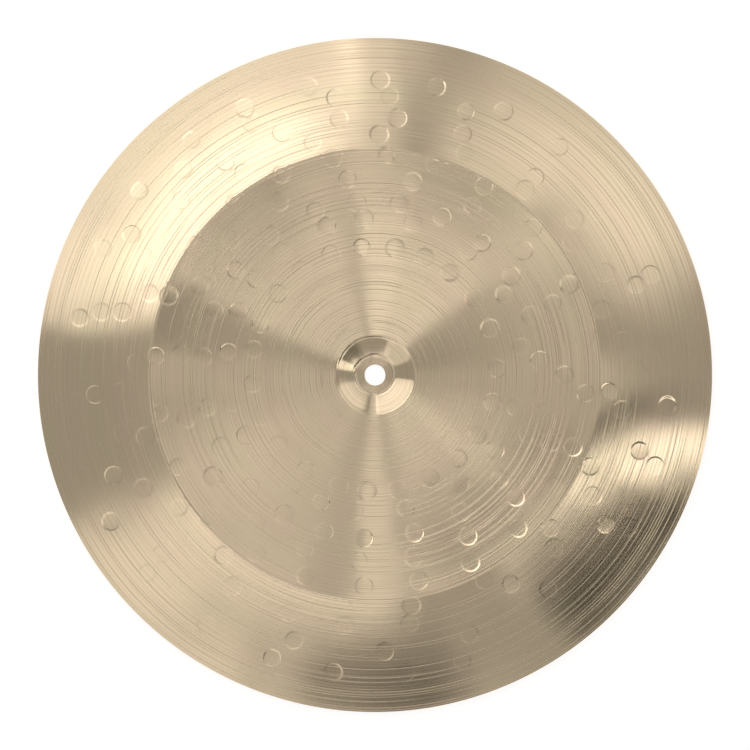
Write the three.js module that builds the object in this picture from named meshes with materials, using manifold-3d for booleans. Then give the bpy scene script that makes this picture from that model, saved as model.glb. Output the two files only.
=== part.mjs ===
// China cymbal: one disc of bronze sheet, hammered and then turned on a lathe.
// A small cup-shaped bell lies in the middle, a bow slopes up from it to a bend,
// and beyond the bend a broad flange turns back down to the edge.
// The disc lies bell down, as it hangs on a stand, so its hollow face looks up along +Z.
// z = 0 is the flat crown of the bell, on which it rests.
// Lengths are in millimetres and angles in degrees.

import * as THREE from 'three';
import { mergeVertices } from 'three/addons/utils/BufferGeometryUtils.js';
import Module from 'manifold-3d';

const wasm = await Module();
wasm.setup();

// Disc, measured on its hollow face
const discDiameter = 406.4;
const boreDiameter = 12.5;
const crownDiameter = 21;
const bellDiameter = 50;
const bendDiameter = 270;

// Curves of the hollow face, and the slopes between them
const shoulderRadius = 7;
const coveRadius = 6.5;
const bendRadius = 10;
const bellRootSlope = 30;
const bellWallSlope = 44;
const bowRootSlope = 5;
const bowTopSlope = 12;
const flangeRootSlope = 13;
const flangeTipSlope = 20;

// Gauge of the sheet, which the lathe leaves thinner towards the edge
const bellGauge = 1.2;
const bendGauge = 0.8;
const edgeGauge = 0.65;

// Hammer marks: shallow round dents in the hollow face
const markDiameter = 10.4;
const markDepth = 0.22;
const markOverrun = 0.5;

// Facets: around the disc, around a mark, and along each curve of the section.
// The bend has bendFacets on each side of its ridge.
const discFacets = 72;
const markFacets = 6;
const shoulderFacets = 2;
const wallFacets = 2;
const coveFacets = 2;
const bowFacets = 4;
const bendFacets = 1;
const flangeFacets = 3;

// Rows of hammer marks, by hand. Each row is a ring that drifts a little off the axis.
// Its radius and drift are shares of the bow's or the flange's width, and its marks lie
// at the listed angles, which run from +X towards +Y.
const bowRows = [
  {
    radiusShare: 0.442, driftShare: 0.033, driftAngle: 95,
    angles: [3, 22, 38, 54, 67, 81, 96, 110, 125, 140, 156, 168, 184, 200, 216, 234, 252, 266, 281, 298,
      315, 330, 347],
  },
  {
    radiusShare: 0.574, driftShare: 0.055, driftAngle: 90,
    angles: [11, 32, 53, 76, 94, 108, 127, 141, 155, 171, 191, 205, 219, 233, 247, 261, 283, 308, 328, 347],
  },
  {
    radiusShare: 0.692, driftShare: 0.033, driftAngle: 125,
    angles: [5, 21, 36, 51, 67, 82, 96, 110, 127, 143, 158, 174, 191, 205, 222, 237, 252, 266, 284, 302,
      320, 339, 352],
  },
  {
    radiusShare: 0.82, driftShare: 0.033, driftAngle: 115,
    angles: [0, 22, 40, 60, 79, 98, 119, 137, 153, 174, 193, 212, 231, 248, 265, 282, 300, 319, 339],
  },
  {
    radiusShare: 0.949, driftShare: 0.033, driftAngle: 130,
    angles: [10, 25, 43, 60, 74, 87, 101, 115, 129, 144, 159, 175, 190, 205, 221, 236, 251, 267, 282, 297,
      313, 328, 340, 355],
  },
];
const flangeRows = [
  {
    radiusShare: 0.104, driftShare: 0.035, driftAngle: 120,
    angles: [16, 34, 51, 68, 89, 105, 123, 142, 160, 177, 195, 214, 230, 246, 262, 279, 298, 319, 337, 356],
  },
  {
    radiusShare: 0.264, driftShare: 0.053, driftAngle: 145,
    angles: [8, 24, 38, 51, 70, 85, 98, 111, 125, 138, 153, 166, 180, 193, 206, 220, 236, 250, 263, 278,
      291, 303, 316, 331, 339, 352],
  },
  {
    radiusShare: 0.471, driftShare: 0.026, driftAngle: 150,
    angles: [3, 19, 36, 53, 71, 87, 98, 116, 133, 150, 167, 184, 201, 220, 237, 253, 272, 290, 309, 327, 344],
  },
  {
    radiusShare: 0.644, driftShare: 0.04, driftAngle: 210,
    angles: [6, 20, 35, 51, 64, 78, 89, 103, 116, 128, 142, 155, 169, 182, 195, 209, 221, 236, 250, 262,
      276, 287, 301, 316, 329, 342, 354],
  },
];

const bronze = new THREE.MeshStandardMaterial({ color: 0xc8ae84, roughness: 0.35, metalness: 1 });

const radians = THREE.MathUtils.degToRad;

const discRadius = discDiameter / 2;
const boreRadius = boreDiameter / 2;
const crownRadius = crownDiameter / 2;
const bellRadius = bellDiameter / 2;
const bendRing = bendDiameter / 2;

// Carries a section on from its last point in an arc of a given signed radius,
// until its slope is endSlope. A positive radius turns the slope upwards.
function addArc(section, endSlope, radius, count) {
  const start = section.at(-1);
  for (let i = 1; i <= count; i++) {
    const slope = start.slope + (endSlope - start.slope) * i / count;
    section.push({
      r: start.r + radius * (Math.sin(slope) - Math.sin(start.slope)),
      z: start.z - radius * (Math.cos(slope) - Math.cos(start.slope)),
      slope,
    });
  }
}

// Carries a section on in the one arc that reaches both endRadius and endSlope.
function addArcTo(section, endRadius, endSlope, count) {
  const start = section.at(-1);
  const radius = (endRadius - start.r) / (Math.sin(endSlope) - Math.sin(start.slope));
  addArc(section, endSlope, radius, count);
}

// Carries a section on in a straight line at its present slope, out to endRadius.
function addLine(section, endRadius) {
  const { r, z, slope } = section.at(-1);
  section.push({ r: endRadius, z: z + (endRadius - r) * Math.tan(slope), slope });
}

// The sheet's gauge at a radius: even over the bell, then thinning to the bend and to the edge.
function gaugeAt(r) {
  if (r < bendRing) {
    return THREE.MathUtils.mapLinear(Math.max(r, bellRadius), bellRadius, bendRing, bellGauge, bendGauge);
  }
  return THREE.MathUtils.mapLinear(r, bendRing, discRadius, bendGauge, edgeGauge);
}

// The hollow face from the bore out to the edge, with the crown one gauge above z = 0.
function faceSection() {
  const bellRoot = radians(bellRootSlope);
  const wallSlope = radians(bellWallSlope);
  const bowRoot = radians(bowRootSlope);
  const bowTop = radians(bowTopSlope);
  const flangeRoot = -radians(flangeRootSlope);
  const flangeTip = -radians(flangeTipSlope);
  const face = [{ r: boreRadius, z: bellGauge, slope: 0 }];
  addLine(face, crownRadius);
  addArc(face, bellRoot, shoulderRadius, shoulderFacets);
  addArcTo(face, bellRadius - coveRadius * (Math.sin(wallSlope) - Math.sin(bowRoot)), wallSlope, wallFacets);
  addArc(face, bowRoot, -coveRadius, coveFacets);
  addArcTo(face, bendRing - bendRadius * Math.sin(bowTop), bowTop, bowFacets);
  addArc(face, 0, -bendRadius, bendFacets);
  addArc(face, flangeRoot, -bendRadius, bendFacets);
  addArcTo(face, discRadius - edgeGauge / 2 * (1 + Math.sin(flangeTip)), flangeTip, flangeFacets);
  return face;
}

// A point the given depth under the face, square to the sheet.
function sunk({ r, z, slope }, depth) {
  return new THREE.Vector2(r + depth * Math.sin(slope), z - depth * Math.cos(slope));
}

// The whole section as a closed outline: out along the back, round the edge, in along the face.
function closedOutline(face) {
  const front = face.map((point) => sunk(point, 0));
  const back = face.map((point) => sunk(point, gaugeAt(point.r)));
  const tip = sunk(face.at(-1), edgeGauge / 2);
  tip.x += edgeGauge / 2;
  return [...back, tip, ...front.reverse(), back[0]];
}

// A closed body turned about +Z from an outline of radius and height.
function turned(outline, facets) {
  const body = new THREE.LatheGeometry(outline, facets);
  body.rotateX(Math.PI / 2);
  body.deleteAttribute('normal');
  body.deleteAttribute('uv');
  return mergeVertices(body);
}

function solidOf(geometry) {
  const vertProperties = new Float32Array(geometry.attributes.position.array);
  const triVerts = new Uint32Array(geometry.index.array);
  return new wasm.Manifold(new wasm.Mesh({ numProp: 3, vertProperties, triVerts }));
}

function geometryOf(solid) {
  const { vertProperties, triVerts } = solid.getMesh();
  const geometry = new THREE.BufferGeometry();
  geometry.setAttribute('position', new THREE.BufferAttribute(vertProperties, 3));
  geometry.setIndex(new THREE.BufferAttribute(triVerts, 1));
  geometry.computeVertexNormals();
  return geometry;
}

// The face's height and slope at any radius between the bore and the edge.
function faceAt(face, radius) {
  const next = face.findIndex(({ r }) => r >= radius);
  const inner = face[next - 1];
  const outer = face[next];
  const share = (radius - inner.r) / (outer.r - inner.r);
  return {
    z: THREE.MathUtils.lerp(inner.z, outer.z, share),
    slope: Math.atan2(outer.z - inner.z, outer.r - inner.r),
  };
}

// The body that a hammer mark takes out of the sheet: a shallow cone under a short drum.
function hammerMark() {
  const markRadius = markDiameter / 2;
  const outline = [
    new THREE.Vector2(0, -markDepth),
    new THREE.Vector2(markRadius, 0),
    new THREE.Vector2(markRadius, markOverrun),
    new THREE.Vector2(0, markOverrun),
  ];
  return turned(outline, markFacets);
}

// Every mark of one row, each lying on the face with its cone pressed into the sheet.
function rowOfMarks(face, mark, row, innerRadius, width) {
  return row.angles.map((angle) => {
    const drift = row.driftShare * Math.cos(radians(angle - row.driftAngle));
    const radius = innerRadius + width * (row.radiusShare + drift);
    const { z, slope } = faceAt(face, radius);
    return mark.clone().rotateY(-slope).translate(radius, 0, z).rotateZ(radians(angle));
  });
}

function cymbal() {
  const face = faceSection();
  const mark = hammerMark();
  const marks = [
    ...bowRows.flatMap((row) => rowOfMarks(face, mark, row, bellRadius, bendRing - bellRadius)),
    ...flangeRows.flatMap((row) => rowOfMarks(face, mark, row, bendRing, discRadius - bendRing)),
  ];
  const blank = solidOf(turned(closedOutline(face), discFacets));
  const hammered = marks.reduce((solid, body) => solid.subtract(solidOf(body)), blank);
  const mesh = new THREE.Mesh(geometryOf(hammered), bronze);
  mesh.name = 'cymbal';
  return mesh;
}

const part = new THREE.Group();
part.add(cymbal());

export default part;
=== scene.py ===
import math

import bpy
import numpy as np
from bpy.props import FloatProperty, FloatVectorProperty, IntProperty, PointerProperty
from mathutils.geometry import delaunay_2d_cdt
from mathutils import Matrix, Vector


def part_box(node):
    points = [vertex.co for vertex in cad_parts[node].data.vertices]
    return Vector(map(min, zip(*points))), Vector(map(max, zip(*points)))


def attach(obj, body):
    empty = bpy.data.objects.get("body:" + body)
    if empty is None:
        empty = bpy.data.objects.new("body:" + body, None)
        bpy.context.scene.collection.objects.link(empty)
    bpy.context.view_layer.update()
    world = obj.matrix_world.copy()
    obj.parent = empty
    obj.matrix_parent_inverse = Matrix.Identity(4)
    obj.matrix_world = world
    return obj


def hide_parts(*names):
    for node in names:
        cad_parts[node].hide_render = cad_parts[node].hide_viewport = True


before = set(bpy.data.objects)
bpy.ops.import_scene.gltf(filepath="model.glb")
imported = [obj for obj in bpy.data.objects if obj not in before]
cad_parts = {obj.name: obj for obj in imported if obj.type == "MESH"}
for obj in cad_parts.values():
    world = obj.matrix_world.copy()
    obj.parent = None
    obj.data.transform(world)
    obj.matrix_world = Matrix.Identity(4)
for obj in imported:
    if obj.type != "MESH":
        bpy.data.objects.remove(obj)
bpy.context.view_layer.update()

bl_info = {
    "name": "China Cymbal",
    "version": (1, 0, 0),
    "blender": (4, 5, 0),
    "location": "View3D > Sidebar > China Cymbal",
    "description": "Makes a hammered and lathed china cymbal and the studio that it lies in",
    "category": "Object",
}

NODE = "cymbal"
NODE_LOW, NODE_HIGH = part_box(NODE)
MM = 0.001

# How finely the surface is divided: the steps between the plain rings of the face and of the back, the
# closer steps over the bell and the bend, the points round the bore and the rim, and the steps over
# the edge and over a bevel.
FACE_STEP, FACE_DETAIL = 2.4 * MM, 0.8 * MM
BACK_STEP, BACK_DETAIL = 3.2 * MM, 1.0 * MM
BORE_POINTS, RIM_POINTS = 96, 480
EDGE_STEPS, BEVEL_STEPS = 8, 3

# The bell's own rings end at a share of its radius, and the bend's lie within a half width of its ridge.
BELL_END, BEND_HALF = 1.06, 2 * MM

# Shares of a step: the gaps beside the bore's ring and the rim's, the way between the bend's rings,
# and the way between the points of a ring over the bell, over the bend and elsewhere.
BORE_GAP, RIM_GAP, BEND_GAP = 0.6, 0.7, 0.4
BELL_SPACING, BEND_SPACING, PLAIN_SPACING = 1.9, 2.2, 1.1

# The rings of points in a mark: how many points each has, and its radius as a share of the mark's.
# Across the rim of a mark on the face they lie at shares of the rim's width from its middle.
FLOOR_COUNTS, FLOOR_SHARES = (1, 8, 16), (0, 0.4, 0.72)
RIM_COUNTS, RIM_SHARES = (28, 28, 28, 28, 28), (-0.6, -0.25, 0.0, 0.25, 0.6)
BULGE_COUNTS, BULGE_SHARES = (1, 8, 12, 14), (0, 0.4, 0.8, 1.2)

# The seam along +X, where the unwrapped angle starts again, has points this far apart.
SEAM_STEP = 1.0 * MM

# How far other points keep off the seam, the bore's ring and the rim's ring, and how many of a
# mark's zones plain points keep off its middle.
SEAM_CLEAR, BORE_CLEAR, RIM_CLEAR, ZONES_CLEAR = 0.45 * MM, 0.3 * MM, 0.5 * MM, 1.12

# How the marks differ, as shares of their mean or their greatest size.
RIM_RANGE, LEAN_RANGE, HOLLOW_RANGE = (0.75, 1.4), (0.2, 1.0), (0.3, 1.6)
LEAST_DEPTH, DEPTH_POWER = 0.15, 1.8

# How far a mark's zone reaches past its radius, in widths of its rim, how wide its bulge is, in its
# own radii, and how many hollow widths or mark's radii away their bell curves are cut off.
ZONE_RIMS, BULGE_WIDTH, CURVE_REACH = 0.9, 0.8, 3

# Where the slow waves start and where they are full, as shares of the bell's radius.
WAVES_START, WAVES_FULL = 1.1, 2

# The bronze, in millimetres: the radii between which the grooves come up to their full strength, the
# share of it that they have inside, the share that a mark takes away, and the finer rings' scale and
# their share of the roughness.
GROOVES_START, GROOVES_FULL = 20.0, 30.0
BELL_GROOVES, STRUCK_GROOVES = 0.3, 0.5
FINE_SCALE, FINE_ROUGHNESS = 1.25, 0.1

# The backdrop's paper: its shade, and its glow where it is seen straight on or in metal.
PAPER_SHADE, PAPER_GLOW = 0.8, 0.75

# Rows of hammer marks: the share of the bow's or the flange's width at which the row lies,
# the share by which it drifts off the axis, the angle of that drift, and the marks' angles.
BOW_ROWS = (
    (0.442, 0.033, 95, (3, 22, 38, 54, 67, 81, 96, 110, 125, 140, 156, 168, 184, 200, 216, 234, 252,
                        266, 281, 298, 315, 330, 347)),
    (0.574, 0.055, 90, (11, 32, 53, 76, 94, 108, 127, 141, 155, 171, 191, 205, 219, 233, 247, 261,
                        283, 308, 328, 347)),
    (0.692, 0.033, 125, (5, 21, 36, 51, 67, 82, 96, 110, 127, 143, 158, 174, 191, 205, 222, 237, 252,
                         266, 284, 302, 320, 339, 352)),
    (0.82, 0.033, 115, (0, 22, 40, 60, 79, 98, 119, 137, 153, 174, 193, 212, 231, 248, 265, 282, 300,
                        319, 339)),
    (0.949, 0.033, 130, (10, 25, 43, 60, 74, 87, 101, 115, 129, 144, 159, 175, 190, 205, 221, 236,
                         251, 267, 282, 297, 313, 328, 340, 355)),
)
FLANGE_ROWS = (
    (0.104, 0.035, 120, (16, 34, 51, 68, 89, 105, 123, 142, 160, 177, 195, 214, 230, 246, 262, 279,
                         298, 319, 337, 356)),
    (0.264, 0.053, 145, (8, 24, 38, 51, 70, 85, 98, 111, 125, 138, 153, 166, 180, 193, 206, 220, 236,
                         250, 263, 278, 291, 303, 316, 331, 339, 352)),
    (0.471, 0.026, 150, (3, 19, 36, 53, 71, 87, 98, 116, 133, 150, 167, 184, 201, 220, 237, 253, 272,
                         290, 309, 327, 344)),
    (0.644, 0.04, 210, (6, 20, 35, 51, 64, 78, 89, 103, 116, 128, 142, 155, 169, 182, 195, 209, 221,
                        236, 250, 262, 276, 287, 301, 316, 329, 342, 354)),
)


def length(name, description, default):
    """A size in metres that the sidebar shows as a length."""
    return FloatProperty(name=name, description=description, default=default, unit="LENGTH", precision=5)


def slope(name, description, degrees):
    """An angle that is given in degrees and held in radians."""
    return FloatProperty(name=name, description=description, default=math.radians(degrees), unit="ROTATION")


class CymbalSizes(bpy.types.PropertyGroup):
    """The sheet's section and gauge, as packed but for a tighter bend and a flatter bell wall."""

    disc: length("Disc", "Diameter of the disc", NODE_HIGH.x - NODE_LOW.x)
    bore: length("Bore", "Diameter of the mounting hole", 12.5 * MM)
    crown: length("Crown", "Diameter of the flat crown", 21 * MM)
    bell: length("Bell", "Diameter of the bell", 50 * MM)
    bend: length("Bend", "Diameter of the bend's ridge", 270 * MM)
    shoulder_radius: length("Shoulder radius", "Radius of the curve round the crown", 7 * MM)
    cove_radius: length("Cove radius", "Radius of the curve between bell and bow", 6.5 * MM)
    bend_radius: length("Bend radius", "Radius of the bend", 3.5 * MM)
    bell_root: slope("Bell root", "Slope of the bell's wall at the shoulder", 30)
    bell_wall: slope("Bell wall", "Slope of the bell's wall at the cove", 40)
    bow_root: slope("Bow root", "Slope of the bow at the bell", 5)
    bow_top: slope("Bow top", "Slope of the bow at the bend", 12)
    flange_root: slope("Flange root", "Fall of the flange at the bend", 13)
    flange_tip: slope("Flange tip", "Fall of the flange at the edge", 20)
    bell_gauge: length("Bell gauge", "Thickness of the sheet over the bell", 1.2 * MM)
    bend_gauge: length("Bend gauge", "Thickness of the sheet at the bend", 0.8 * MM)
    edge_gauge: length("Edge gauge", "Thickness of the sheet at the edge", 0.65 * MM)
    bore_bevel: length("Bore bevel", "Width of the bore's broken edges", 0.25 * MM)


class HammerWork(bpy.types.PropertyGroup):
    """What the hammer leaves in the sheet."""

    mark: length("Mark", "Mean diameter of a hammer mark", 10.6 * MM)
    mark_spread: FloatProperty(name="Mark spread", description="Share by which marks differ in size",
                               default=0.06)
    rim: length("Rim", "Mean width of a mark's rim", 1.25 * MM)
    depth: length("Depth", "Depth of the deepest marks", 0.15 * MM)
    dish: FloatProperty(name="Dish", description="Share of its depth that a mark's floor is dished",
                        default=0.3)
    hollow_depth: length("Hollow depth", "Depth of the wide hollow round a mark", 0.035 * MM)
    hollow_width: length("Hollow width", "Width of that hollow", 10 * MM)
    wave_slope: slope("Wave slope", "Mean slope of the sheet's slow waves", 0.17)
    wave_short: length("Shortest wave", "Length of the shortest slow wave", 25 * MM)
    wave_long: length("Longest wave", "Length of the longest slow wave", 70 * MM)
    bulge: FloatProperty(name="Bulge", description="Share of a mark's depth that bulges out of the back",
                         default=0.8)
    seed: IntProperty(name="Seed", description="Which of the possible sets of marks is struck", default=7)


class BronzeFinish(bpy.types.PropertyGroup):
    """Colour and gloss of the lathed bronze."""

    colour: FloatVectorProperty(name="Colour", description="Colour of the bronze", subtype="COLOR", size=3,
                                default=(0.83, 0.668, 0.457), min=0, max=1)
    rosy: FloatVectorProperty(name="Rosy tint", description="Colour of its rosier bands", subtype="COLOR",
                              size=3, default=(0.84, 0.662, 0.46), min=0, max=1)
    green: FloatVectorProperty(name="Green tint", description="Colour of its greener bands",
                               subtype="COLOR", size=3, default=(0.82, 0.672, 0.45), min=0, max=1)
    roughness: FloatProperty(name="Roughness", description="Roughness between the lathe's grooves",
                             default=0.14, subtype="FACTOR", min=0, max=1)
    brushing: FloatProperty(name="Brushing", description="How far the gloss is drawn out across the rings",
                            default=0.9, subtype="FACTOR", min=0, max=1)
    groove_spacing: length("Groove spacing", "Mean distance between the lathe's grooves", 2.0 * MM)
    groove_width: length("Groove width", "Half the width of a groove", 0.4 * MM)
    groove_depth: length("Groove depth", "Depth of the deepest grooves", 0.009 * MM)
    groove_roughness: FloatProperty(name="Groove roughness", description="Extra roughness in a groove",
                                    default=0.3, subtype="FACTOR", min=0, max=1)
    # Painted shade: the share by which the colour is darker in a groove.
    groove_painted_shade: FloatProperty(name="Groove shade", description="Share by which a groove is darker",
                                default=0.14, subtype="FACTOR", min=0, max=1)
    ring_depth: length("Ring depth", "Depth of the finer rings", 0.012 * MM)
    # Painted light and shade: the share by which the colour is lighter and darker along the finer rings.
    ring_painted_shading: FloatProperty(name="Ring shade", description="Share by which the finer rings differ",
                              default=0.25, subtype="FACTOR", min=0, max=1)


class StudioSet(bpy.types.PropertyGroup):
    """The camera, the floor and the light round the cymbal."""

    lens: FloatProperty(name="Lens", description="Focal length of the camera", default=300,
                        subtype="DISTANCE_CAMERA")
    view: length("View", "Width of the picture at the floor", 0.4526)
    floor: length("Floor", "Radius of the flat floor", 10.0)
    wall: length("Wall", "Height of the wall that the floor turns up into", 1.2)
    tent: FloatProperty(name="Tent", description="Level of the light from all round", default=0.36)


def carried(section, end_slope, radius, points=60):
    """Carries a section on in an arc until its slope is end_slope.

    From a start of radius r0, height z0 and slope a0, the point at slope a is
    r0 + radius * (sin a - sin a0) out and z0 - radius * (cos a - cos a0) up.
    """
    r0, z0, a0 = section[:, -1]
    a = np.linspace(a0, end_slope, points + 1)[1:]
    return np.hstack([section, (r0 + radius * (np.sin(a) - math.sin(a0)),
                                z0 - radius * (np.cos(a) - math.cos(a0)), a)])


def carried_to(section, end_radius, end_slope):
    """Carries a section on in the one arc that reaches both end_radius and end_slope."""
    r0, _, a0 = section[:, -1]
    return carried(section, end_slope, (end_radius - r0) / (math.sin(end_slope) - math.sin(a0)))


class Sheet:
    """The sheet's section: its hollow face and its back, each as rows of radius, height and slope."""

    def __init__(self, sizes):
        self.bell, self.bend, self.disc = sizes.bell / 2, sizes.bend / 2, sizes.disc / 2
        tip = -sizes.flange_tip
        rim = self.disc - sizes.edge_gauge / 2 * (1 + math.sin(tip))
        cove_start = self.bell - sizes.cove_radius * (math.sin(sizes.bell_wall) - math.sin(sizes.bow_root))
        bend_start = self.bend - sizes.bend_radius * math.sin(sizes.bow_top)
        face = np.array([(sizes.bore / 2, sizes.crown / 2), (sizes.bell_gauge,) * 2, (0, 0)])
        face = carried(face, sizes.bell_root, sizes.shoulder_radius)
        face = carried_to(face, cove_start, sizes.bell_wall)
        face = carried(face, sizes.bow_root, -sizes.cove_radius)
        face = carried_to(face, bend_start, sizes.bow_top)
        face = carried(face, -sizes.flange_root, -sizes.bend_radius)
        self.face = carried_to(face, rim, tip)
        self.back = self.sunk(sizes)

    def sunk(self, sizes):
        """The back: every point of the face moved square into the sheet by its gauge.

        The gauge is even over the bell, then thins evenly to the bend and on to the edge.
        """
        r, z, slope = self.face
        gauge = np.interp(r, (self.bell, self.bend, self.disc),
                          (sizes.bell_gauge, sizes.bend_gauge, sizes.edge_gauge))
        return np.array([r + gauge * np.sin(slope), z - gauge * np.cos(slope), slope])


def travel(section):
    """The way along a section from its first point to each of its points."""
    steps = np.hypot(np.diff(section[0]), np.diff(section[1]))
    return np.concatenate([[0], np.cumsum(steps)])


def smooth(t):
    """The smooth step 3t^2 - 2t^3 of t held between 0 and 1, and its own slope 6t - 6t^2."""
    t = np.clip(t, 0, 1)
    return t * t * (3 - 2 * t), 6 * t * (1 - t)


class Marks:
    """Places and shapes of all hammer marks, one number of each kind per mark."""

    def __init__(self, sheet, work, rng):
        centres = []
        for rows, inner, width in ((BOW_ROWS, sheet.bell, sheet.bend - sheet.bell),
                                   (FLANGE_ROWS, sheet.bend, sheet.disc - sheet.bend)):
            for share, drift, drift_angle, angles in rows:
                turn = np.radians(angles)
                r = inner + width * (share + drift * np.cos(turn - math.radians(drift_angle)))
                centres.append(np.stack([r * np.cos(turn), r * np.sin(turn)], axis=1))
        self.centre = np.concatenate(centres)
        count = len(self.centre)
        self.radius = work.mark / 2 * (1 + work.mark_spread * rng.uniform(-1, 1, count))
        self.rim = work.rim * rng.uniform(*RIM_RANGE, count)
        self.depth = work.depth * (LEAST_DEPTH + (1 - LEAST_DEPTH) * rng.uniform(0, 1, count) ** DEPTH_POWER)
        self.dish = work.dish
        lean = rng.uniform(*LEAN_RANGE, count) * self.depth * (1 - work.dish) / self.radius
        way = rng.uniform(0, 2 * math.pi, count)
        self.lean = np.stack([lean * np.cos(way), lean * np.sin(way)], axis=1)
        self.turn = rng.uniform(0, 2 * math.pi, count)
        self.hollow_depth = work.hollow_depth * rng.uniform(*HOLLOW_RANGE, count)
        self.hollow_width = work.hollow_width
        self.zone = self.radius + ZONE_RIMS * self.rim

    def reach_to(self, points):
        """Every point's distance to every mark, as a share of that mark's zone."""
        offset = points[:, None] - self.centre[None]
        return np.hypot(offset[..., 0], offset[..., 1]) / self.zone

    def points(self, counts, radii):
        """Rings of points in every mark, and the mark of each: counts per ring, and each ring's radii."""
        points, owners = [], []
        for count, radius in zip(counts, radii):
            angle = self.turn[:, None] + 2 * math.pi * np.arange(count) / count
            around = np.stack([np.cos(angle), np.sin(angle)], axis=2)
            points.append((self.centre[:, None] + radius[:, None, None] * around).reshape(-1, 2))
            owners.append(np.repeat(np.arange(len(self.centre)), count))
        return np.concatenate(points), np.concatenate(owners)


class Waves:
    """Slow waves of the hammered sheet: a sum of sines of seeded length, direction and phase.

    Each swings so far that the slopes of all, added up, have a mean square of wave_slope squared.
    """

    def __init__(self, sheet, work, rng, count=24):
        number = 2 * math.pi / rng.uniform(work.wave_short, work.wave_long, count)
        way = rng.uniform(0, 2 * math.pi, count)
        self.number = np.stack([number * np.cos(way), number * np.sin(way)])
        self.phase = rng.uniform(0, 2 * math.pi, count)
        self.swing = work.wave_slope * math.sqrt(2 / count) / number
        self.start, self.full = sheet.bell * WAVES_START, sheet.bell * WAVES_FULL
        self.lowered = 2 * math.sqrt((self.swing ** 2).sum())

    def at(self, xy):
        """Height and slopes of the waves, which fade in from the bell and never rise above zero.

        The height is fade * (sum of swing * sin(number . place + phase) - lowered), and each
        slope is its derivative.
        """
        r = np.hypot(xy[:, 0], xy[:, 1])
        fade, steep = smooth((r - self.start) / (self.full - self.start))
        angle = xy @ self.number + self.phase
        total = np.minimum(np.sin(angle) @ self.swing - self.lowered, 0)
        slopes = (np.cos(angle) * self.swing) @ self.number.T
        fading = steep / (self.full - self.start) * total / r
        return fade * total, fade[:, None] * slopes + fading[:, None] * xy


def struck_face(xy, marks):
    """Depth, slopes and strength of the hammer marks at places on the hollow face.

    A mark's floor is depth * (1 - dish * (distance / radius)^2) plus a leaning plane, cut off
    by a smooth step over the rim's width. A wide hollow, a bell curve of the distance, lies round it.
    """
    height, slopes, struck = np.zeros(len(xy)), np.zeros((len(xy), 2)), np.zeros(len(xy))
    for k in range(len(marks.centre)):
        offset = xy - marks.centre[k]
        distance = np.hypot(offset[:, 0], offset[:, 1])
        near = distance < CURVE_REACH * marks.hollow_width
        offset, distance = offset[near], np.maximum(distance[near], 1e-9)
        radius, rim = marks.radius[k], marks.rim[k]
        inside, steep = smooth((radius + rim / 2 - distance) / rim)
        floor = marks.depth[k] * (1 - marks.dish * (distance / radius) ** 2) + offset @ marks.lean[k]
        falling = -2 * marks.depth[k] * marks.dish * distance / radius ** 2
        hollow = marks.hollow_depth[k] * np.exp(-(distance / marks.hollow_width) ** 2)
        height[near] -= inside * floor + hollow
        across = steep / rim * floor - inside * falling + 2 * distance / marks.hollow_width ** 2 * hollow
        slopes[near] += (across / distance)[:, None] * offset - inside[:, None] * marks.lean[k]
        struck[near] = np.maximum(struck[near], inside * marks.depth[k] / marks.depth.max())
    return height, slopes, struck


def struck_back(xy, marks, share):
    """Height and slopes of the soft bulges that the marks push out of the back.

    Each is a bell curve of the distance from its mark's middle.
    """
    height, slopes = np.zeros(len(xy)), np.zeros((len(xy), 2))
    for k in range(len(marks.centre)):
        offset = xy - marks.centre[k]
        near = np.hypot(offset[:, 0], offset[:, 1]) < CURVE_REACH * marks.radius[k]
        offset = offset[near]
        width = BULGE_WIDTH * marks.radius[k]
        bulge = share * marks.depth[k] * np.exp(-(offset ** 2).sum(axis=1) / width ** 2)
        height[near] -= bulge
        slopes[near] += (2 * bulge / width ** 2)[:, None] * offset
    return height, slopes


def raised(xy, section, waves, extra, extra_slopes):
    """Points and upward normals of one side: its section turned about the axis, plus waves and marks."""
    r = np.hypot(xy[:, 0], xy[:, 1])
    wave, wave_slopes = waves.at(xy)
    steep = np.tan(np.interp(r, section[0], section[2])) / r
    slopes = steep[:, None] * xy + wave_slopes + extra_slopes
    normals = np.column_stack([-slopes, np.ones(len(xy))])
    normals /= np.linalg.norm(normals, axis=1)[:, None]
    return np.column_stack([xy, np.interp(r, section[0], section[1]) + wave + extra]), normals


def ring(radius, count, turn=0.0):
    """Points evenly round a circle about the axis."""
    angle = 2 * math.pi * (np.arange(count) + turn) / count
    return np.stack([radius * np.cos(angle), radius * np.sin(angle)], axis=1)


def rings_between(start, end, step, spacing, fewest=24):
    """Rings about the axis from start to end, step apart, whose points lie about spacing apart.

    Every second ring is turned by half a spacing.
    """
    radii = np.linspace(start, end, max(2, round((end - start) / step) + 1))
    return [ring(r, max(fewest, round(2 * math.pi * r / spacing)), turn=0.5 * (k % 2))
            for k, r in enumerate(radii)]


def spread(inner, outer, sheet, step, detail_step):
    """The disc's plain points: rings that lie closer over the bell and the bend."""
    bore_start, bell_end = inner + BORE_GAP * detail_step, sheet.bell * BELL_END
    bend_start, bend_end = sheet.bend - BEND_HALF, sheet.bend + BEND_HALF
    spacing = PLAIN_SPACING * step
    return np.concatenate(
        rings_between(bore_start, bell_end, detail_step, BELL_SPACING * detail_step)
        + rings_between(bell_end + step, bend_start - detail_step, step, spacing)
        + rings_between(bend_start, bend_end, BEND_GAP * detail_step, BEND_SPACING * detail_step)
        + rings_between(bend_end + detail_step, outer - RIM_GAP * step, step, spacing))


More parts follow.
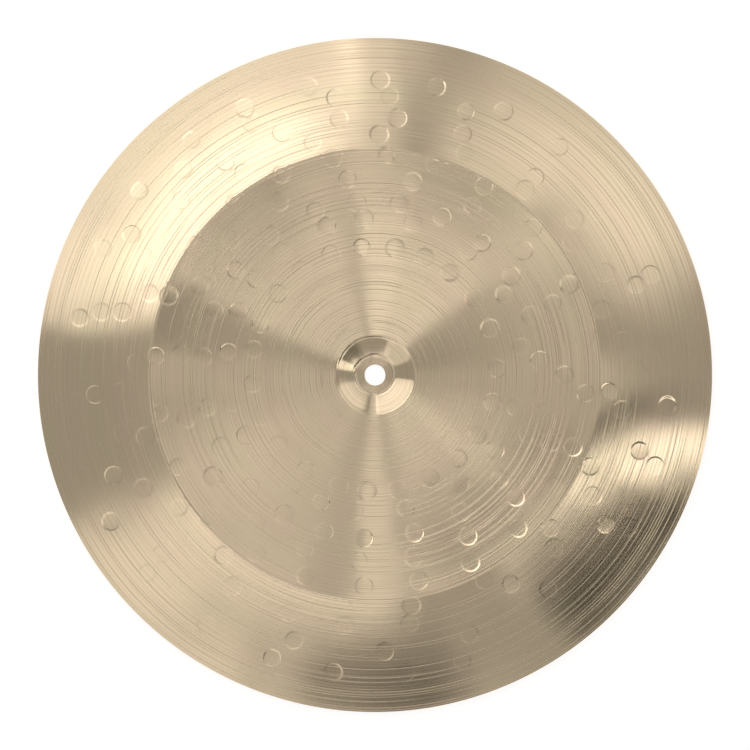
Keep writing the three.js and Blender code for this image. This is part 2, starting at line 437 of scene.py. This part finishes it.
def laid_out(inner, outer, counts, plain, own, owners, marks):
    """All points of one side of the disc, and the edges that its triangles have to keep.

    First come the bore's ring, the rim's ring and the seam along +X, then the marks' own points,
    each left out where another mark is nearer, and the plain points outside all marks.
    """
    seam_r = np.linspace(inner, outer, round((outer - inner) / SEAM_STEP) + 1)[1:-1]
    seam = np.stack([seam_r, np.zeros(len(seam_r))], axis=1)
    own = own[marks.reach_to(own).argmin(axis=1) == owners]
    plain = plain[marks.reach_to(plain).min(axis=1) > ZONES_CLEAR]
    others = np.concatenate([own, plain])
    r = np.hypot(others[:, 0], others[:, 1])
    off_seam = (others[:, 0] < 0) | (np.abs(others[:, 1]) > SEAM_CLEAR)
    others = others[off_seam & (r > inner + BORE_CLEAR) & (r < outer - RIM_CLEAR)]
    points = np.concatenate([ring(inner, counts[0]), ring(outer, counts[1]), seam, others])
    bore, rim = np.arange(counts[0]), counts[0] + np.arange(counts[1])
    chain = np.concatenate([bore[:1], sum(counts) + np.arange(len(seam)), rim[:1]])
    edges = np.concatenate([np.stack([bore, np.roll(bore, -1)], axis=1),
                            np.stack([rim, np.roll(rim, -1)], axis=1),
                            np.stack([chain[:-1], chain[1:]], axis=1)])
    return points, edges


def triangulated(points, edges, hole):
    """Joins points into triangles that turn anticlockwise, and leaves out those in the hole."""
    hull, touching = 0, 1e-7
    found, _, faces, origins, _, _ = delaunay_2d_cdt(points.tolist(), edges.tolist(), [],
                                                     hull, touching, True)
    if len(found) != len(points):
        raise RuntimeError(f"{len(points)} points of the disc became {len(found)}")
    triangles = np.array(origins)[:, 0][np.array(faces)]
    corners = points[triangles]
    first, second = corners[:, 1] - corners[:, 0], corners[:, 2] - corners[:, 0]
    clockwise = first[:, 0] * second[:, 1] < first[:, 1] * second[:, 0]
    triangles[clockwise] = triangles[clockwise][:, ::-1]
    middle = corners.mean(axis=1)
    return triangles[np.hypot(middle[:, 0], middle[:, 1]) > hole]


def turned(profile, count):
    """Points and normals of a profile turned about the axis.

    The profile has rows of radius, height, and the normal's outward and upward share.
    """
    angle = 2 * math.pi * np.arange(count) / count
    r, z, out, up = (np.repeat(row, count) for row in profile)
    turn = np.tile(angle, len(profile[0]))
    points = np.stack([r * np.cos(turn), r * np.sin(turn), z], axis=1)
    return points, np.stack([out * np.cos(turn), out * np.sin(turn), up], axis=1)


def strip_triangles(rows):
    """Two triangles for each cell between neighbouring rows of point numbers round the axis."""
    a, b = rows[:-1], rows[1:]
    a2, b2 = np.roll(a, -1, axis=1), np.roll(b, -1, axis=1)
    return np.concatenate([np.stack([a, b, b2], axis=2).reshape(-1, 3),
                           np.stack([a, b2, a2], axis=2).reshape(-1, 3)])


def edge_profile(sheet, steps):
    """The half circle that joins the face to the back at the edge, without its two ends.

    Its centre is halfway between them, and at an angle b from the face's normal its point and
    its normal lie along cos b * normal + sin b * the section's own direction.
    """
    r, z, slope = sheet.face[:, -1]
    back_r, back_z, _ = sheet.back[:, -1]
    half = math.hypot(r - back_r, z - back_z) / 2
    b = np.linspace(0, math.pi, steps + 1)[1:-1]
    out = np.sin(b) * math.cos(slope) - np.cos(b) * math.sin(slope)
    up = np.sin(b) * math.sin(slope) + np.cos(b) * math.cos(slope)
    return np.array([(r + back_r) / 2 + half * out, (z + back_z) / 2 + half * up, out, up])


def bore_profile(sizes, steps):
    """The bore's wall from the back up to the face: a quarter circle, a straight wall and another."""
    bevel, gauge = sizes.bore_bevel, sizes.bell_gauge
    low = np.linspace(-math.pi / 2, -math.pi, steps + 1)[1:]
    high = np.linspace(math.pi, math.pi / 2, steps + 1)[:-1]
    b = np.concatenate([low, high])
    middle = np.concatenate([np.full(steps, bevel), np.full(steps, gauge - bevel)])
    return np.array([sizes.bore / 2 + bevel * (1 + np.cos(b)), middle + bevel * np.sin(b),
                     np.cos(b), np.sin(b)])


def unwrapped(points, along, triangles):
    """UVs of the corners: the angle about the axis as a share of a turn, and the way along the section.

    On the seam, where the angle is both nothing and a whole turn, a triangle below it takes the turn.
    """
    u = (np.arctan2(points[:, 1], points[:, 0]) / (2 * math.pi) % 1)[triangles]
    below = points[triangles, 1].mean(axis=1) < 0
    on_seam = np.minimum(u, 1 - u) < 1e-6
    u = np.where(on_seam, below[:, None].astype(float), u)
    return np.stack([u, along[triangles]], axis=2)


def disc_surface(sizes, work):
    """The whole cymbal as one closed surface.

    It gives the points, normals, triangles and UVs, and how hard each point was struck.
    Each side is a height over the plane: the section's height at the point's radius, plus the
    sheet's slow waves, plus the marks on the face or their bulges on the back. Its points lie in
    rings about the axis and about each mark, because an even grid fine enough for the marks'
    rims would need ten times the faces. A half circle turned about the axis closes the edge,
    and a bevelled wall the bore.
    """
    rng = np.random.default_rng(work.seed)
    sheet = Sheet(sizes)
    marks = Marks(sheet, work, rng)
    waves = Waves(sheet, work, rng)
    counts = (BORE_POINTS, RIM_POINTS)
    inner = sizes.bore / 2 + sizes.bore_bevel

    floors = [share * marks.radius for share in FLOOR_SHARES]
    rims = [marks.radius + share * marks.rim for share in RIM_SHARES]
    own = marks.points(FLOOR_COUNTS + RIM_COUNTS, floors + rims)
    plain = spread(inner, sheet.face[0, -1], sheet, FACE_STEP, FACE_DETAIL)
    face_xy, edges = laid_out(inner, sheet.face[0, -1], counts, plain, *own, marks)
    face_triangles = triangulated(face_xy, edges, inner)
    own = marks.points(BULGE_COUNTS, [share * marks.radius for share in BULGE_SHARES])
    plain = spread(inner, sheet.back[0, -1], sheet, BACK_STEP, BACK_DETAIL)
    back_xy, edges = laid_out(inner, sheet.back[0, -1], counts, plain, *own, marks)
    back_triangles = triangulated(back_xy, edges, inner)[:, ::-1]

    *struck_relief, struck = struck_face(face_xy, marks)
    face, face_normals = raised(face_xy, sheet.face, waves, *struck_relief)
    back, back_normals = raised(back_xy, sheet.back, waves, *struck_back(back_xy, marks, work.bulge))
    edge, edge_normals = turned(edge_profile(sheet, EDGE_STEPS), counts[1])
    edge[:, 2] += waves.at(edge[:, :2])[0]
    wall, wall_normals = turned(bore_profile(sizes, BEVEL_STEPS), counts[0])

    starts = np.cumsum([0, len(face), len(back), len(edge), len(wall)])
    face_bore, back_bore = np.arange(counts[0]), starts[1] + np.arange(counts[0])
    face_rim, back_rim = counts[0] + np.arange(counts[1]), starts[1] + counts[0] + np.arange(counts[1])
    edge_rows = np.arange(starts[2], starts[3]).reshape(-1, counts[1])
    wall_rows = np.arange(starts[3], starts[4]).reshape(-1, counts[0])
    edge_triangles = strip_triangles(np.vstack([face_rim, edge_rows, back_rim]))
    wall_triangles = strip_triangles(np.vstack([back_bore, wall_rows, face_bore]))

    face_way, back_way = travel(sheet.face), travel(sheet.back)
    edge_way = math.pi / 2 * sizes.edge_gauge
    along_face = np.interp(np.hypot(*face_xy.T), sheet.face[0], face_way)
    edge_shares = np.arange(1, len(edge_rows) + 1) / (len(edge_rows) + 1)
    along_edge = face_way[-1] + edge_way * np.repeat(edge_shares, counts[1])
    back_end = face_way[-1] + edge_way + back_way[-1]
    along_back = back_end - np.interp(np.hypot(*back_xy.T), sheet.back[0], back_way)
    whole = back_end + sizes.bell_gauge
    along_wall = whole - sizes.bell_gauge + wall[:, 2]
    along = np.concatenate([along_face, along_back, along_edge, along_wall]) / whole

    points = np.concatenate([face, back, edge, wall])
    normals = np.concatenate([face_normals, -back_normals, edge_normals, wall_normals])
    triangles = np.concatenate([face_triangles, starts[1] + back_triangles, edge_triangles, wall_triangles])
    uv = unwrapped(points, along, triangles)
    wall_corners = uv[-len(wall_triangles):]
    wall_corners[wall_triangles < counts[0], 1] = 1.0
    strengths = np.concatenate([struck, np.zeros(len(points) - len(face))])
    return points, normals, triangles, uv, strengths


def disc_piece(name, sizes, work):
    """Puts the disc's surface into a mesh object at the origin."""
    points, normals, triangles, uv, struck = disc_surface(sizes, work)
    mesh = bpy.data.meshes.new(name)
    mesh.from_pydata(points.tolist(), [], triangles.tolist())
    if mesh.validate():
        raise RuntimeError("the disc's mesh has faults")
    mesh.shade_smooth()
    mesh.uv_layers.new(name="OFBake").uv.foreach_set("vector", uv.ravel().astype(np.float32))
    mesh.attributes.new("struck", "FLOAT", "POINT").data.foreach_set("value", struck.astype(np.float32))
    mesh.normals_split_custom_set_from_vertices(normals.tolist())
    piece = bpy.data.objects.new(name, mesh)
    bpy.context.scene.collection.objects.link(piece)
    return piece


class Socket:
    """A value in a shader. Python's operators on it add the Math nodes that work them out."""

    def __init__(self, nodes, socket):
        self.nodes, self.socket = nodes, socket

    def __add__(self, other):
        return self.nodes.math("ADD", self, other)

    def __radd__(self, other):
        return self.nodes.math("ADD", other, self)

    def __sub__(self, other):
        return self.nodes.math("SUBTRACT", self, other)

    def __rsub__(self, other):
        return self.nodes.math("SUBTRACT", other, self)

    def __mul__(self, other):
        return self.nodes.math("MULTIPLY", self, other)

    def __pow__(self, other):
        return self.nodes.math("POWER", self, other)

    def __abs__(self):
        return self.nodes.math("ABSOLUTE", self)


class Nodes:
    """Adds nodes to one empty node tree."""

    def __init__(self, tree):
        self.tree = tree
        tree.nodes.clear()

    def node(self, kind, settings=None, values=None, out=0):
        """One node: its settings first, then the numbers or links of its sockets."""
        node = self.tree.nodes.new(kind)
        for name, value in (settings or {}).items():
            setattr(node, name, value)
        for key, value in (values or {}).items():
            if isinstance(value, Socket):
                self.tree.links.new(value.socket, node.inputs[key])
            else:
                node.inputs[key].default_value = value
        return Socket(self, node.outputs[out]) if node.outputs else node

    def math(self, operation, *values):
        return self.node("ShaderNodeMath", {"operation": operation}, dict(enumerate(values)))

    def vector(self, operation, *values, out=0):
        return self.node("ShaderNodeVectorMath", {"operation": operation}, dict(enumerate(values)), out)

    def between(self, value, start, end):
        """A smooth step from 0 at start to 1 at end, or the other way round where start is the greater."""
        return self.node("ShaderNodeMapRange", {"interpolation_type": "SMOOTHSTEP"},
                         {"Value": value, "From Min": start, "From Max": end})

    def blend(self, factor, first, second):
        """A colour between two colours."""
        return self.node("ShaderNodeMix", {"data_type": "RGBA"}, {0: factor, 6: first, 7: second}, out=2)

    def noise(self, place, scale, detail):
        """Smooth noise from 0 to 1 over places, or over a line where the place is a number's socket."""
        on_line = place.socket.type == "VALUE"
        return self.node("ShaderNodeTexNoise", {"noise_dimensions": "1D" if on_line else "3D"},
                         {"W" if on_line else "Vector": place, "Scale": scale, "Detail": detail})

    def stack(self, x, y, z):
        """A vector from its three numbers."""
        return self.node("ShaderNodeCombineXYZ", None, {0: x, 1: y, 2: z})


def bronze(finish):
    """Lathed bronze: bright metal whose gloss is drawn out across fine rings about the axis.

    The grooves are thin lines at the points of cells of random width along the distance from the
    axis, each with a weight of its own, and slow noise over angle and distance lets them fade.
    They are weaker in the bell. Noise over the distance alone gives the finer rings, and slow
    noise tints the metal. The colour also carries painted shade, darker in the grooves, and
    painted light and shade, lighter and darker along the finer rings. All of it is worked out in
    millimetres.
    """
    material = bpy.data.materials.new("lathed_bronze")
    material.use_nodes = True
    nodes = Nodes(material.node_tree)
    place = nodes.node("ShaderNodeTexCoord", out="Object")
    flat = nodes.vector("MULTIPLY", place, (1 / MM, 1 / MM, 0))
    radius = nodes.vector("LENGTH", flat, out="Value")
    way = nodes.vector("NORMALIZE", flat)
    struck = nodes.node("ShaderNodeAttribute", {"attribute_name": "struck"}, out="Fac")

    def drifting(turns, rings, detail):
        """Slow noise round the axis and along the distance from it, quicker as turns and rings grow."""
        drift = nodes.vector("MULTIPLY_ADD", way, (turns, turns, 0), nodes.stack(0, 0, radius * rings))
        return nodes.noise(drift, 1.0, detail)

    spacing = finish.groove_spacing / MM
    cell = {"W": radius, "Scale": 1 / spacing, "Randomness": 1.0}
    off_line = nodes.node("ShaderNodeTexVoronoi", {"voronoi_dimensions": "1D"}, cell)
    weight = nodes.node("ShaderNodeTexVoronoi", {"voronoi_dimensions": "1D"}, cell, out="Color")
    fading = nodes.between(drifting(turns=2.9, rings=0.3, detail=1.0), 0.32, 0.6)
    in_bow = nodes.between(radius, GROOVES_START, GROOVES_FULL)
    groove = nodes.between(off_line, finish.groove_width / MM / spacing, 0.0)
    groove = groove * nodes.between(weight, 0.2, 0.8) * fading * (1 - struck * STRUCK_GROOVES)
    groove = groove * (in_bow * (1 - BELL_GROOVES) + BELL_GROOVES)
    fine = nodes.noise(radius, FINE_SCALE, 1.0) - 0.5
    height = fine * (finish.ring_depth / MM) - groove * (finish.groove_depth / MM)
    normal = nodes.node("ShaderNodeBump", None, {"Strength": 1.0, "Distance": MM, "Height": height})

    bands = drifting(turns=1.1, rings=0.05, detail=2.0)
    colour = nodes.blend(nodes.between(bands, 0.42, 0.66), (*finish.colour, 1), (*finish.rosy, 1))
    colour = nodes.blend(nodes.between(bands, 0.5, 0.3), colour, (*finish.green, 1))
    # Painted shade: the colour is darker in the grooves.
    shade = 1 - groove * finish.groove_painted_shade - fine * finish.ring_painted_shading
    # The colour is multiplied by the grooves' painted shade and the finer rings' painted light and shade.
    colour = nodes.vector("MULTIPLY", colour, nodes.stack(shade, shade, shade))
    roughness = finish.roughness + groove * finish.groove_roughness + fine * FINE_ROUGHNESS
    shader = nodes.node("ShaderNodeBsdfPrincipled", None, {
        "Base Color": colour,
        "Metallic": 1.0,
        "Roughness": roughness,
        "Anisotropic": finish.brushing,
        "Anisotropic Rotation": 0.25,
        "Normal": normal,
    })
    nodes.node("ShaderNodeOutputMaterial", None, {"Surface": shader})
    return material


# Panels of the studio's tent: the azimuth and the zenith angle of the panel's middle, half its width
# and half its height in degrees, its level, how square its corners are (2 for an ellipse), the
# share of its size over which its edge fades, and the degrees by which it leans per degree down.
TENT = (
    # The box at the upper left, brightest along its top
    (132, 92, 40, 65, 0.55, 8, 0.04, 0.0),
    (130, 30, 33, 5.5, 1.3, 2, 0.3, 0.0),
    (131, 57, 28, 9, 0.15, 2, 0.5, 0.0),
    (96, 37, 5, 7, 0.15, 2, 0.4, 0.0),
    (160, 36, 8, 8, 0.25, 2, 0.5, 0.0),
    (128, 84, 41, 25, 0.25, 4, 0.2, 0.0),
    # The box at the upper right
    (44, 92, 29, 60, 0.28, 4, 0.15, 0.0),
    (33, 37, 20, 6, 0.5, 2, 0.5, 0.0),
    (61, 30, 14, 8, 0.4, 2, 0.4, 0.0),
    (40, 86, 32, 24, 0.3, 3, 0.3, 0.0),
    # The narrow strip between them
    (89.5, 15, 6, 20, 0.3, 3, 0.4, 0.0),
    (87, 14, 28, 12, 0.15, 3, 0.4, 0.0),
    (91, 38, 5, 7, 0.3, 3, 0.4, 0.0),
    (88, 60, 8, 22, 0.3, 3, 0.4, 0.0),
    (78, 38, 8, 6, 0.15, 2, 0.4, 0.0),
    # The box at the lower left, with a dark gap in it
    (226, 92, 23, 57, 0.34, 4, 0.12, 0.0),
    (219, 38, 14, 6, 0.3, 2, 0.5, 0.0),
    (243, 27.8, 35, 4, 0.75, 3, 0.15, 0.0),
    (246, 52, 12, 16, 0.2, 2, 0.5, 0.0),
    (271, 41, 16, 7, -0.28, 2, 0.3, 0.0),
    (262, 51, 15, 8, 0.4, 2, 0.12, 0.0),
    # The dark card at the lower right, with a bright rim round its corner
    (325, 41.5, 19, 12, -0.36, 3, 0.25, 0.0),
    (318, 51, 15, 6.5, 0.5, 3, 0.1, 0.0),
    (318, 27.3, 17, 2.6, 0.7, 3, 0.3, 0.0),
    (327, 27.3, 9, 2.4, 0.6, 3, 0.3, 0.0),
    (336, 31, 5, 3.5, 1.5, 3, 0.3, 1.8),
    (344, 37, 5, 4.5, 1.7, 3, 0.3, 1.0),
    (348, 45, 4, 4.5, 0.7, 2, 0.4, 0.0),
    (346, 28.5, 6, 6, -0.5, 3, 0.3, 1.4),
    (332, 59, 15, 4.5, 1, 2, 0.4, 0.0),
    (343, 70, 8, 14, 0.8, 3, 0.3, 0.0),
    (320, 75, 20, 12, -0.18, 3, 0.4, 0.0),
    (288, 53, 14, 8, 0.3, 2, 0.3, 0.0),
    (358, 27, 8, 4, 0.35, 2, 0.4, 0.0),
    # The cloth overhead, between the boxes' tops
    (130, 4, 24, 12, 0.42, 4, 0.3, 0.0),
    (249, 10, 28, 9, 0.55, 4, 0.12, 0.0),
    (267, 11, 9, 13, 0.15, 3, 0.2, 0.0),
    (311, 12.5, 29, 7, 0.45, 4, 0.2, 0.0),
    (28, 7, 38, 13, 0.26, 4, 0.25, 0.0),
    (35, 20, 18, 4, 0.28, 2, 0.5, 0.0),
    (150, 15, 16, 4, 0.25, 2, 0.3, 0.0),
    (206, 21, 26, 4, 0.35, 2, 0.4, 0.0),
    (172, 14, 14, 11, 0.15, 3, 0.5, 0.0),
    (281, 20, 14, 4, 0.25, 2, 0.4, 0.0),
    (138, 21, 28, 3.6, -0.45, 4, 0.2, 0.0),
    (108, 21, 12, 4, -0.15, 3, 0.4, 0.0),
    (248, 21.5, 24, 3, -0.35, 4, 0.3, 0.0),
    (315, 21.5, 20, 2.6, -0.15, 4, 0.3, 0.0),
    # The dimmer middle of the cloth, which goes all the way round
    (0, 0, 400, 8, -0.12, 2, 0.3, 0.0),
)


def tent_world(name, level):
    """A world that is a studio tent of soft panels, whose level depends on direction alone.

    A panel is the smooth step of (|across / width|^c + |down / height|^c)^(1/c), where across
    and down are angles from its middle, so it is an ellipse where c is 2 and squarer above.
    """
    world = bpy.data.worlds.new(name)
    world.use_nodes = True
    nodes = Nodes(world.node_tree)
    direction = nodes.node("ShaderNodeTexCoord", out="Generated")
    x, y, z = (nodes.vector("DOT_PRODUCT", direction, axis, out="Value")
               for axis in ((1, 0, 0), (0, 1, 0), (0, 0, 1)))
    zenith = nodes.math("ARCCOSINE", z) * math.degrees(1)
    bearing = nodes.math("ARCTAN2", y, x) * math.degrees(1)
    light = level
    for azimuth, middle, width, height, strength, corner, edge, slant in TENT:
        down = zenith - middle
        across = nodes.math("WRAP", bearing - azimuth, 180.0, -180.0)
        if slant:
            across = across - down * slant
        reach = (abs(across) * (1 / width)) ** corner + (abs(down) * (1 / height)) ** corner
        light = light + nodes.between(reach ** (1 / corner), 1 + edge, 1 - edge) * strength
    background = nodes.node("ShaderNodeBackground", None,
                            {"Color": (1, 1, 1, 1), "Strength": nodes.math("MAXIMUM", light, 0.0)})
    nodes.node("ShaderNodeOutputWorld", None, {"Surface": background})
    return world


def paper(name, shade, glow):
    """White paper: seen straight on or in metal it also glows a little, and still takes a shadow."""
    material = bpy.data.materials.new(name)
    material.use_nodes = True
    nodes = Nodes(material.node_tree)
    plain = nodes.node("ShaderNodeBsdfDiffuse", None, {"Color": (shade, shade, shade, 1)})
    seen_paper = nodes.node("ShaderNodeBsdfDiffuse", None, {"Color": (shade / 2, shade / 2, shade / 2, 1)})
    glowing = nodes.node("ShaderNodeEmission", None, {"Color": (1, 1, 1, 1), "Strength": glow})
    seen_shader = nodes.node("ShaderNodeAddShader", None, {0: seen_paper, 1: glowing})
    path = {key: nodes.node("ShaderNodeLightPath", out=key) for key in
            ("Is Camera Ray", "Is Glossy Ray", "Is Transmission Ray")}
    seen = nodes.math("MINIMUM", sum(path.values(), 0.0), 1.0)
    shader = nodes.node("ShaderNodeMixShader", None, {0: seen, 1: plain, 2: seen_shader})
    nodes.node("ShaderNodeOutputMaterial", None, {"Surface": shader})
    return material


def backdrop(name, floor, wall, count=96, steps=12):
    """A round floor at z = 0 that turns up into a wall.

    Its profile, turned about the axis, is a flat and then a quarter of an ellipse, whose point at
    an angle b is sin b of its width out and 1 - cos b of the wall's height up.
    """
    b = np.linspace(0, math.pi / 2, steps + 1)
    flat, bend = floor * np.array([0.02, 0.3, 0.7]), 0.2 * floor
    radii = np.concatenate([flat, floor + bend * np.sin(b)])
    heights = np.concatenate([np.zeros(len(flat)), wall * (1 - np.cos(b))])
    angle = 2 * math.pi * np.arange(count) / count
    points = np.stack([np.outer(radii, np.cos(angle)), np.outer(radii, np.sin(angle)),
                       np.repeat(heights[:, None], count, axis=1)], axis=2).reshape(-1, 3)
    rows = np.arange(len(points)).reshape(-1, count)
    triangles = strip_triangles(rows)
    mesh = bpy.data.meshes.new(name)
    mesh.from_pydata(points.tolist(), [], [rows[0].tolist()] + triangles.tolist())
    mesh.shade_smooth()
    drop = bpy.data.objects.new(name, mesh)
    bpy.context.scene.collection.objects.link(drop)
    return drop


class CHINACYMBAL_OT_make_cymbal(bpy.types.Operator):
    """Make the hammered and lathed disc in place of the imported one"""

    bl_idname = "china_cymbal.make_cymbal"
    bl_label = "Make cymbal"

    def execute(self, context):
        scene = context.scene
        piece = disc_piece("hammered_disc", scene.cymbal_sizes, scene.cymbal_hammer)
        piece.data.materials.append(bronze(scene.cymbal_bronze))
        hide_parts("cymbal")
        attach(piece, "root")
        return {"FINISHED"}


class CHINACYMBAL_OT_make_stage(bpy.types.Operator):
    """Make the white floor, the studio's light and the camera above the disc"""

    bl_idname = "china_cymbal.make_stage"
    bl_label = "Make stage"

    def execute(self, context):
        scene = context.scene
        studio = scene.cymbal_studio
        drop = backdrop("white_backdrop", studio.floor, studio.wall)
        drop.data.materials.append(paper("white_paper", PAPER_SHADE, PAPER_GLOW))
        scene.world = tent_world("studio_tent", studio.tent)
        lens = bpy.data.cameras.new("overhead_camera")
        lens.lens = studio.lens
        lens.clip_end = 10 * studio.floor
        camera = bpy.data.objects.new("overhead_camera", lens)
        camera.location = (0, 0, studio.view * studio.lens / lens.sensor_width)
        scene.collection.objects.link(camera)
        scene.camera = camera
        scene.view_settings.view_transform = "Standard"
        return {"FINISHED"}


class CHINACYMBAL_PT_panel(bpy.types.Panel):
    """The cymbal's makers, and the sizes and colours that they read"""

    bl_label = "China Cymbal"
    bl_space_type = "VIEW_3D"
    bl_region_type = "UI"
    bl_category = "China Cymbal"

    def draw(self, context):
        for operator, groups in MAKERS:
            box = self.layout.box()
            box.operator(operator.bl_idname)
            for group in groups:
                settings = getattr(context.scene, group)
                for name in settings.__annotations__:
                    box.prop(settings, name)


MAKERS = (
    (CHINACYMBAL_OT_make_cymbal, ("cymbal_sizes", "cymbal_hammer", "cymbal_bronze")),
    (CHINACYMBAL_OT_make_stage, ("cymbal_studio",)),
)
GROUPS = {
    "cymbal_sizes": CymbalSizes,
    "cymbal_hammer": HammerWork,
    "cymbal_bronze": BronzeFinish,
    "cymbal_studio": StudioSet,
}
CLASSES = (*GROUPS.values(), CHINACYMBAL_OT_make_cymbal, CHINACYMBAL_OT_make_stage, CHINACYMBAL_PT_panel)


def register():
    for item in CLASSES:
        bpy.utils.register_class(item)
    for name, group in GROUPS.items():
        setattr(bpy.types.Scene, name, PointerProperty(type=group))


def unregister():
    for name in GROUPS:
        delattr(bpy.types.Scene, name)
    for item in reversed(CLASSES):
        bpy.utils.unregister_class(item)


def main():
    register()
    bpy.ops.china_cymbal.make_cymbal()
    bpy.ops.china_cymbal.make_stage()


if __name__ == "__main__":
    main()
